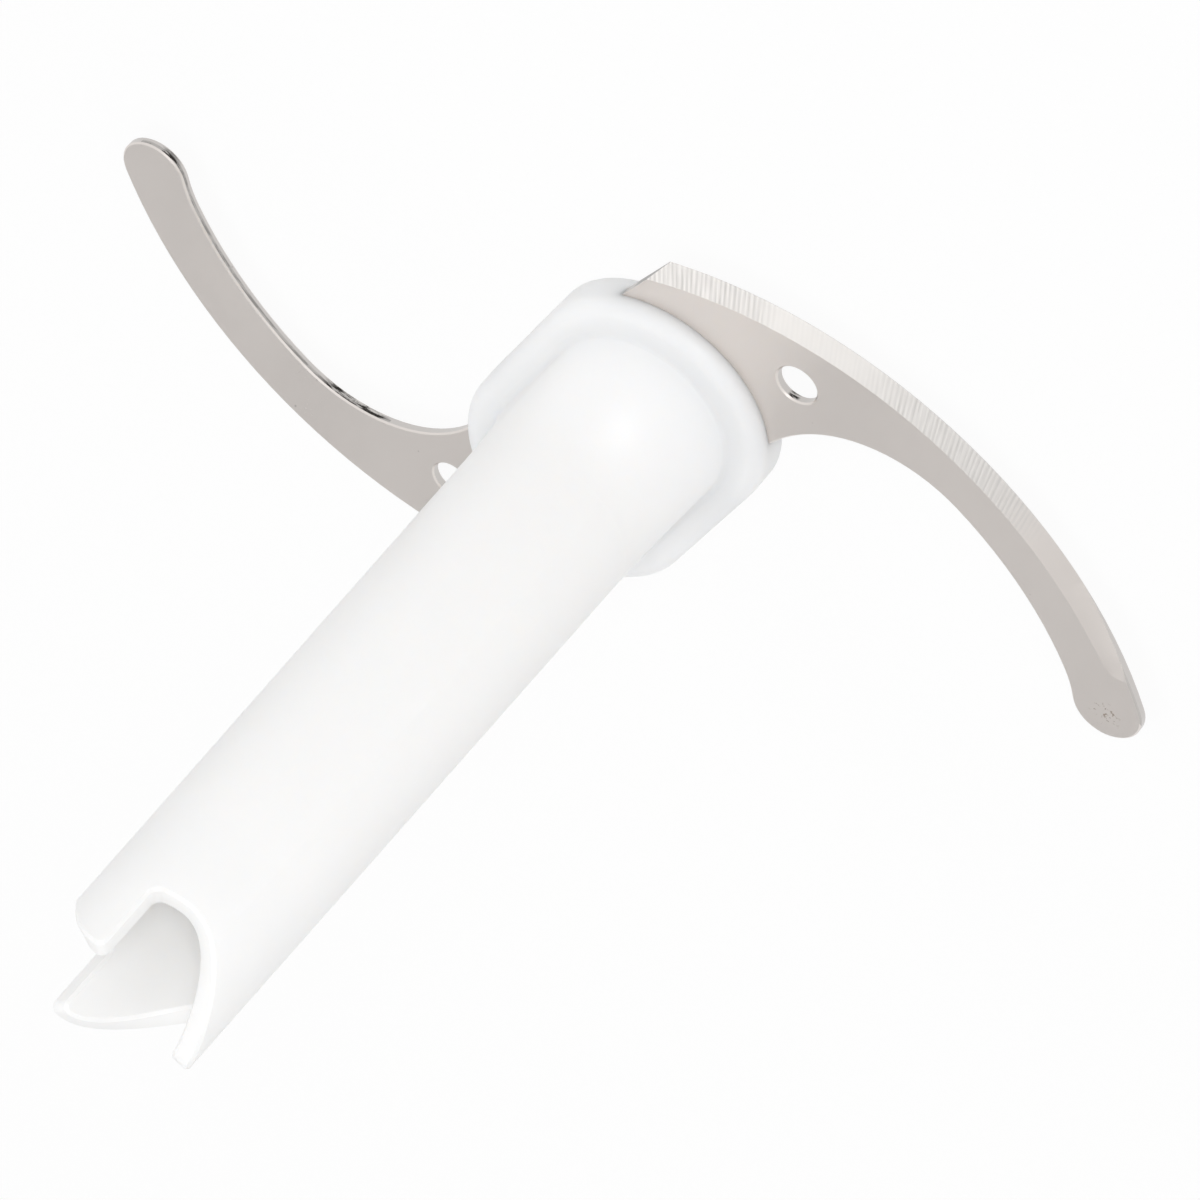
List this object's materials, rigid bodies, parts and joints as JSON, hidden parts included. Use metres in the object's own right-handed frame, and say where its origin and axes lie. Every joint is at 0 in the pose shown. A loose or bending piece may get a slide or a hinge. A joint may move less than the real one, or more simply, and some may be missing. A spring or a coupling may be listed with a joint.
{
  "type": "food processor blade",
  "caption": "S-shaped steel cutting blade moulded into the oblong collar of a tall plastic hub, with a spindle bore below and a saw-toothed drive crown above.",
  "frame": {"origin": "on the hub's axis at the collar's flat underside", "axes": "+Z along the hub's axis up to the drive crown, +X from the axis to the locating hole of the arm whose bevel faces the crown"},
  "size_m": [0.1, 0.1048, 0.1001],
  "materials": {
    "hub": "satin moulded",
    "blade": "satin rolled faces with a ground bevel"
  },
  "bodies": {
    "root": {"hub": "hub", "blade": "blade"}
  },
  "joints": []
}
